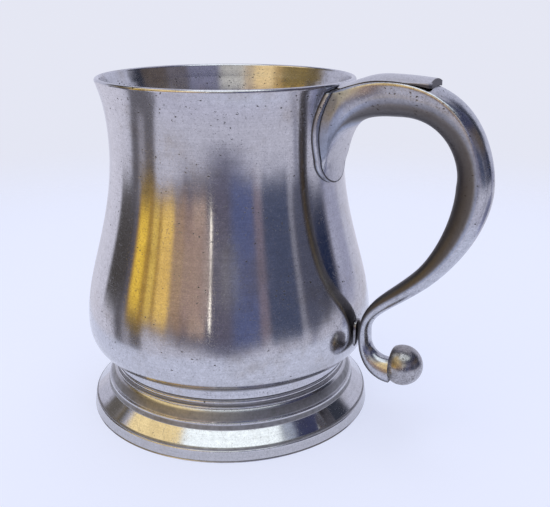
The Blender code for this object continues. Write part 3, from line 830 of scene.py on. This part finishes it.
# Thumb leaf: the tongue that lies along the handle's back from the lip. Its tip stands free of
# the handle, so that a thumb can press on it.
leaf_length = 0.0297
leaf_width = 0.0124
leaf_thickness = 0.0010
leaf_edge = 0.0005
leaf_bevel = 0.0006
leaf_bevel_drop = 0.00018
leaf_tip_drop = 0.0008
leaf_arch_droop = 0.0015
leaf_tip_droop = 0.0003
leaf_hang = 0.0012
leaf_tip_round = 0.0012
leaf_tip_share = 0.82
leaf_steps = 48
leaf_side_steps = 24


def read_across(pairs, place):
    """Reads the second of sorted pairs at a place along the first, held at both ends."""
    if place <= pairs[0][0]:
        return pairs[0][1]
    for (left, low), (right, high) in zip(pairs, pairs[1:]):
        if place <= right:
            return low + (high - low) * (place - left) / (right - left)
    return pairs[-1][1]


back_lines = []
for ring in handle_rings[:2 * stretch_steps + 1]:
    crest = max(ring, key=lambda point: point.z)
    upper = sorted((point.y, point.z) for point in ring if point.z > crest.z - back_crown)
    back_lines.append((crest.x, upper))


def back_height(x, y):
    """Height of the handle's back at a place."""
    return read_across([(line_x, read_across(upper, y)) for line_x, upper in back_lines], x)


leaf_start = axis_x + rim_radius - 0.0002
leaf_end = leaf_start + leaf_length
arch_place = axis_x + arch.x
leaf_crest = back_height(arch_place, 0) + touch
leaf_rings = []
leaf_wear_and_shade = []
for step in range(leaf_steps + 1):
    x = leaf_start + leaf_length * step / leaf_steps
    free = max(0, (x - arch_place) / (leaf_end - arch_place))
    centre = leaf_crest - leaf_tip_drop * free * free if free else 0
    droop = leaf_arch_droop + free * (leaf_tip_droop - leaf_arch_droop)
    to_tip = max(0, x - (leaf_end - leaf_tip_round)) / leaf_tip_round
    half = leaf_width / 2 * (leaf_tip_share + (1 - leaf_tip_share)
                             * math.sqrt(max(0, 1 - to_tip * to_tip)))
    hung = leaf_hang * free * free
    under, over = [], []
    for side_step in range(leaf_side_steps + 1):
        side = -math.cos(math.pi * side_step / leaf_side_steps)
        y = side * half
        back_top = back_height(x, y) + touch
        low = max(back_top, centre - droop * side * side)
        thick = leaf_edge + (leaf_thickness - leaf_edge) * (1 - side * side)
        if side_step in (0, leaf_side_steps):
            under.append(Vector((x, y, low + thick - leaf_bevel_drop)))
        else:
            under.append(Vector((x, y, max(back_top, low - hung))))
        over.append(Vector((x, y - side * leaf_bevel, low + thick)))
    leaf_rings.append(under + over[::-1])
    # The leaf's underside takes the near-black colour in full as a painted shadow under its free
    # tip, its tip's end face is darkened as painted shade, and its edges and top stay clear.
    leaf_wear_and_shade += [wear_and_shade_full] + [0.0] * (len(under) - 2) + [wear_and_shade_full]
    leaf_wear_and_shade += [wear_and_shade_full if step < leaf_steps else wear_and_shade_hollow] * len(over)
leaf_finish = pewter("leaf_pewter", (0.68, 0.675, 0.69), (0.06, 0.055, 0.06), (0.16, 0.24),
                     turned=False, tarnish_share=0.3, tarnish_and_shade_share=0.9)
bm = bmesh.new()
loft(bm, leaf_rings, leaf_wear_and_shade)
seated("thumb_leaf_tongue", bm, leaf_finish, "thumb_leaf", 45)


# Ball: the round end of the tail. It is cast with the tail and left rough, with deep pits below.
ball_low, ball_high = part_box("ball_end")
ball_radius = (ball_high.y - ball_low.y) / 2
ball_centre = Vector((ball_high.x - ball_radius, 0, (ball_low.z + ball_high.z) / 2))
ball_seat = 0.0034
ball_finish = pewter("ball_pewter", (0.52, 0.505, 0.52), (0.30, 0.26, 0.22), (0.20, 0.34),
                     turned=False, tarnish_share=0.9, pit_share=0.5, grain=2.6,
                     pit_band=(ball_low.z - 0.004, ball_low.z + 0.008))
bm = bmesh.new()
bmesh.ops.create_icosphere(bm, subdivisions=6, radius=ball_radius)
cut = bmesh.ops.bisect_plane(
    bm, geom=bm.verts[:] + bm.edges[:] + bm.faces[:], plane_co=(-ball_seat, 0, 0),
    plane_no=(-1, 0, 0), clear_outer=True,
)
rim_edges = [item for item in cut["geom_cut"] if isinstance(item, bmesh.types.BMEdge)]
bmesh.ops.contextual_create(bm, geom=rim_edges)
bmesh.ops.translate(bm, verts=bm.verts, vec=ball_centre)
seated("ball_knob", bm, ball_finish, "ball_end")


# Table and light: a sheet of pale paper under the mug, pale walls behind it and a dim room in
# front, which the pewter mirrors, and a broad soft lamp above.
handle_turn = 32
paper_radius = 0.55
paper_white = (0.716, 0.753, 0.914)
paper_glow = 1.18
paper_shaded_share = 0.30
paper_fade_start = 0.24
mirrored_fade = (0.145, 0.17)
sheet_mesh = bpy.data.meshes.new("paper")
bm = bmesh.new()
bmesh.ops.create_circle(bm, cap_ends=True, segments=96, radius=paper_radius)
bm.to_mesh(sheet_mesh)
bm.free()
paper = bpy.data.objects.new("paper", sheet_mesh)
bpy.context.collection.objects.link(paper)
paper_finish = bpy.data.materials.new("paper_white")
paper_finish.use_nodes = True
tree = paper_finish.node_tree
tree.nodes.clear()
where = wire(tree, "TexCoord", {}, {}, "Object")
out = wire(tree, "VectorMath", {"operation": "LENGTH"}, {0: where}, "Value")
sheet = wire(tree, "BsdfDiffuse", {}, {"Color": (*paper_white, 1)})
lit = wire(tree, "Emission", {}, {"Color": (*paper_white, 1), "Strength": paper_glow})
sheet = wire(tree, "MixShader", {}, {0: paper_shaded_share, 1: lit, 2: sheet})
clear = wire(tree, "BsdfTransparent", {}, {})
path = tree.nodes.new("ShaderNodeLightPath")
mirrored = maths(tree, "MULTIPLY", ramp(tree, out, *mirrored_fade), path.outputs["Is Glossy Ray"])
fade = maths(tree, "MAXIMUM", ramp(tree, out, paper_fade_start, paper_radius), mirrored)
mixed = wire(tree, "MixShader", {}, {0: fade, 1: sheet, 2: clear})
end = tree.nodes.new("ShaderNodeOutputMaterial")
tree.links.new(mixed, end.inputs["Surface"])
paper.data.materials.append(paper_finish)

room = bpy.data.worlds.new("room")
bpy.context.scene.world = room
room.use_nodes = True
tree = room.node_tree
tree.nodes.clear()
facing = wire(tree, "TexCoord", {}, {}, "Generated")
split = tree.nodes.new("ShaderNodeSeparateXYZ")
tree.links.new(facing, split.inputs[0])
wander = noise(tree, facing, 9, 2, 0.5)
bearing = maths(tree, "ARCTAN2", split.outputs["X"],
                maths(tree, "MULTIPLY", split.outputs["Y"], -1))
bearing = maths(tree, "SUBTRACT", bearing, math.radians(handle_turn))
bearing = maths(tree, "WRAP", bearing, math.pi, -math.pi)
rise = maths(tree, "ARCSINE", split.outputs["Z"])
rise = maths(tree, "MULTIPLY_ADD", maths(tree, "SUBTRACT", wander, 0.5), 0.10, rise)


def patch(colour_before, middle, half_width, low, high, colour, soft=3.0, soft_rise=5.0):
    """Lays a soft-edged patch of the room over what is there; all angles are in degrees."""
    away = apart(tree, bearing, math.radians(middle))
    across = ramp(tree, away, math.radians(half_width + soft / 2),
                  math.radians(half_width - soft / 2))
    above = ramp(tree, rise, math.radians(low - soft_rise / 2), math.radians(low + soft_rise / 2))
    below = ramp(tree, rise, math.radians(high + soft_rise / 2),
                 math.radians(high - soft_rise / 2))
    share = maths(tree, "MULTIPLY", across, maths(tree, "MULTIPLY", above, below))
    return mix(tree, share, colour_before, (*colour, 1))


def seen_as(red, green, blue):
    """A tone the eye reads in the metal, as the light that is behind it."""
    return tuple((part / 255) ** 2.2 for part in (red, green, blue))


light = mix(tree, ramp(tree, rise, math.radians(-40), math.radians(-20)),
            (*seen_as(216, 216, 236), 1), (*seen_as(220, 220, 236), 1))
light = mix(tree, ramp(tree, rise, math.radians(-12), math.radians(-4)), light,
            (*seen_as(212, 214, 234), 1))
# Each patch: the bearing of its middle and half its width, its lowest and highest rise, its light
# and how softly it ends across and upwards. A later one lies over those before it.
room_patches = (
    # The table far from the mug, and its shaded parts at the right
    (-128, 20, -34, 2, seen_as(236, 235, 250), 16, 10),
    (106, 18, -60, -30, seen_as(188, 194, 234), 16, 10),
    (100, 17, -34, -17, seen_as(136, 139, 168), 10, 8),
    (101, 3.5, -20, -7, seen_as(132, 136, 166), 5, 6),
    (67.5, 2.5, -50, -5, seen_as(158, 159, 178), 5, 6),
    # The dim front of the room, and above it gold, dark and pale bands
    (0, 104, -6, 100, seen_as(104, 102, 114), 5, 7),
    (-60, 46, 31, 60, seen_as(290, 262, 196), 6, 6),
    (-5, 26, 32, 50, seen_as(150, 146, 146), 14, 5),
    (66, 60, 30, 76, seen_as(70, 74, 104), 14, 8),
    (96, 2.5, 32, 76, seen_as(124, 128, 156), 4, 8),
    (-128, 18, 28, 76, seen_as(62, 62, 56), 8, 6),
    (128, 25, -2, 30, seen_as(216, 219, 240), 8, 6),
    (109, 9, 21, 62, seen_as(64, 68, 80), 6, 5),
    (-125, 10, 17, 32, seen_as(112, 108, 104), 6, 6),
    (103, 10, 13, 30, seen_as(60, 64, 76), 6, 4),
    # Where the table ends, in front and at the left
    (-14, 32, -10.5, 12, seen_as(104, 102, 118), 16, 8),
    (-4, 14, -17, -4, seen_as(110, 110, 132), 28, 9),
    (-106, 12, -9, 8, seen_as(84, 80, 78), 6, 4),
    (-87, 15, -40, -4, seen_as(118, 116, 124), 6, 8),
    (-88, 4, -24, -6, seen_as(170, 168, 180), 5, 6),
    # Gold light at the left, in folds
    (-80, 9, -10, -3, seen_as(140, 118, 80), 6, 4),
    (-86, 28, 13, 30, seen_as(138, 120, 80), 8, 4),
    (-70, 19, -4, 13, seen_as(196, 154, 78), 4, 5),
    (-82, 5, -2.5, 10, seen_as(290, 240, 96), 4, 4),
    (-68.5, 3, -3, 12, seen_as(262, 220, 110), 2.5, 4),
    (-55, 7, -2, 7, seen_as(284, 236, 128), 4, 6),
    (-56, 7, 6, 13, seen_as(262, 214, 126), 4, 6),
    (-55, 6, 12, 30, seen_as(196, 164, 112), 6, 4),
    (-39, 13, 13, 30, seen_as(286, 250, 184), 8, 4),
    # Brown light left of the middle, and blue light right of it
    (-44, 6, -3, 12, seen_as(186, 154, 128), 5, 5),
    (-31, 9, -2, 12, seen_as(180, 152, 142), 6, 4),
    (-26, 6, -2, 3, seen_as(226, 196, 174), 5, 3),
    (-19, 4, 4, 12, seen_as(190, 166, 158), 4, 5),
    (-7, 9, -6, 12, seen_as(108, 104, 122), 8, 5),
    (-22, 8, 13, 30, seen_as(232, 210, 178), 6, 4),
    (-5, 14, 14, 30, seen_as(236, 234, 226), 6, 4),
    (24, 17, 13, 30, seen_as(152, 152, 178), 8, 4),
    (13, 11, -10, 12, seen_as(100, 109, 150), 10, 6),
    # The dark right of the room, with pale upright lines
    (27, 4, -8, 12, seen_as(142, 130, 144), 5, 5),
    (44, 13, -9.5, 13, seen_as(84, 92, 118), 6, 6),
    (52, 11, 13, 30, seen_as(126, 120, 126), 6, 4),
    (59, 2.5, -6, 14, seen_as(150, 150, 164), 3, 4),
    (73, 11, -9, 12, seen_as(92, 95, 114), 6, 5),
    (91, 8, -5, 12, seen_as(40, 50, 78), 8, 5),
    (114, 12, -9, -1, seen_as(178, 180, 206), 8, 5),
    (79, 15, 13, 30, seen_as(112, 102, 96), 6, 4),
    # The narrow glint, and the white light from high up in front and overhead
    (-16, 0.5, 0, 9, (4.2, 3.9, 3.3), 0.4, 1.5),
    (68, 5, 50, 72, seen_as(186, 196, 216), 5, 6),
    (0, 61, 50, 120, (1.42, 1.55, 1.60), 8, 5),
    (180, 80, 50, 120, seen_as(205, 205, 222), 10, 5),
    (-180, 80, 50, 120, seen_as(205, 205, 222), 10, 5),
    (0, 200, 72, 120, (1.55, 1.65, 1.75), 10, 6),
)
for place in room_patches:
    light = patch(light, *place)
seen_top = (0.785, 0.800, 0.900, 1)
seen_bottom = (0.730, 0.765, 0.905, 1)
seen = mix(tree, ramp(tree, rise, math.radians(-45), math.radians(0)), seen_bottom, seen_top)
path = tree.nodes.new("ShaderNodeLightPath")
shown = mix(tree, path.outputs["Is Camera Ray"], light, seen)
glow = wire(tree, "Background", {}, {"Color": shown, "Strength": 1.0})
end = tree.nodes.new("ShaderNodeOutputWorld")
tree.links.new(glow, end.inputs["Surface"])

lamp_width = 0.7
lamp_watts = 2.6
lamp_height = 0.9
lamp_data = bpy.data.lights.new("soft_lamp", "AREA")
lamp_data.shape = "DISK"
lamp_data.size = lamp_width
lamp_data.energy = lamp_watts
lamp = bpy.data.objects.new("soft_lamp", lamp_data)
lamp.location = (0.0, 0.0, lamp_height)
lamp.visible_glossy = False
bpy.context.collection.objects.link(lamp)


# Camera: a little above the mug and close to it, turned to the handle's near side.
camera_distance = 0.26974
camera_height = 0.14536
camera_yaw = 0.06183
camera_pitch = -0.32411
camera_roll = 0.0017
sensor_width = 36.0
picture_width = 550
focal_pixels = 776.09
turned_round = Matrix.Rotation(math.radians(handle_turn), 3, "Z")
ahead = turned_round @ Vector((math.sin(camera_yaw) * math.cos(camera_pitch),
                               math.cos(camera_yaw) * math.cos(camera_pitch),
                               math.sin(camera_pitch)))
level_right = turned_round @ Vector((math.cos(camera_yaw), -math.sin(camera_yaw), 0))
level_up = level_right.cross(ahead)
right = level_right * math.cos(camera_roll) + level_up * math.sin(camera_roll)
up = level_up * math.cos(camera_roll) - level_right * math.sin(camera_roll)
camera_data = bpy.data.cameras.new("camera")
camera_data.sensor_width = sensor_width
camera_data.lens = focal_pixels * sensor_width / picture_width
camera_data.clip_start = 0.01
camera_data.clip_end = 10
camera = bpy.data.objects.new("camera", camera_data)
eye = turned_round @ Vector((0, -camera_distance, camera_height)) + Vector((axis_x, 0, 0))
pose = Matrix((right, up, -ahead)).transposed().to_4x4()
camera.matrix_world = Matrix.Translation(eye) @ pose
bpy.context.collection.objects.link(camera)
bpy.context.scene.camera = camera

bpy.context.scene.view_settings.view_transform = "Standard"
